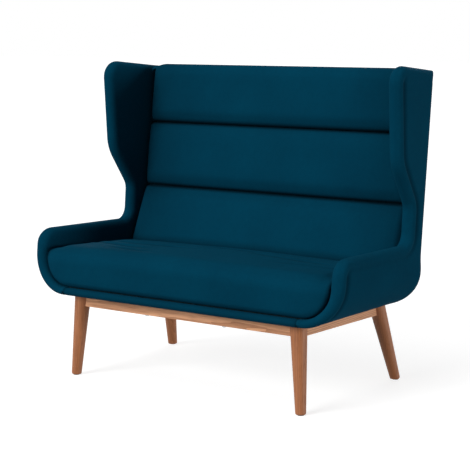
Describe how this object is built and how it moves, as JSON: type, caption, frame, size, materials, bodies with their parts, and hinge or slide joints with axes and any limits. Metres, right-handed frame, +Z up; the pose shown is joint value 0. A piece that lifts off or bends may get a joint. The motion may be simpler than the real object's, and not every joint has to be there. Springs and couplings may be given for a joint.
{
  "type": "high back settee",
  "caption": "High back settee with padded sides rising from arms to wings, channelled back pads, a loose seat cushion and a splayed wood base.",
  "frame": {"origin": "on the floor, in the middle of the settee's width and depth", "axes": "+X to the right seen from the front, -Y towards the front, +Z up"},
  "size_m": [1.2792, 0.6982, 1.1003],
  "materials": {
    "felt": "petrol wool felt cloth",
    "dark_cloth": "thin black dust cloth",
    "webbing": "woven elastic strap",
    "foam": "open-cell foam",
    "oak": "oiled solid wood",
    "plywood": "raw birch plywood",
    "dowel_wood": "raw beech",
    "zinc": "zinc plated",
    "glide": "moulded nylon",
    "tab": "woven ribbon"
  },
  "bodies": {
    "settee": {"side_pad_left": "felt", "side_pad_right": "felt", "side_panel_left": "plywood", "side_panel_right": "plywood", "panel_screws": "zinc", "front_border": "felt", "back_cover": "felt", "back_board": "plywood", "back_brackets": "zinc", "bracket_screws": "zinc", "seam_tab": "tab", "back_pad_lower": "felt", "back_pad_middle": "felt", "back_pad_upper": "felt", "frame_front": "plywood", "frame_rear": "plywood", "frame_left": "plywood", "frame_right": "plywood", "frame_centre": "plywood", "webbing": "webbing", "deck_cloth": "dark_cloth", "bottom_cloth": "dark_cloth", "leg_front_left": "oak", "leg_front_right": "oak", "leg_rear_left": "oak", "leg_rear_right": "oak", "rail_front": "oak", "rail_rear": "oak", "rail_left": "oak", "rail_right": "oak", "corner_blocks": "plywood", "dowels": "dowel_wood", "leg_bolts": "zinc", "base_bolts": "zinc", "tee_nuts": "zinc", "glides": "glide"},
    "cushion": {"seat_cushion": "felt", "cushion_core": "foam", "cushion_underside": "dark_cloth"}
  },
  "joints": [
    {"name": "seat_cushion_lift", "type": "slide", "parent": "settee", "child": "cushion", "axis": [0, 0, 1], "range_m": [0, 0.25]}
  ]
}
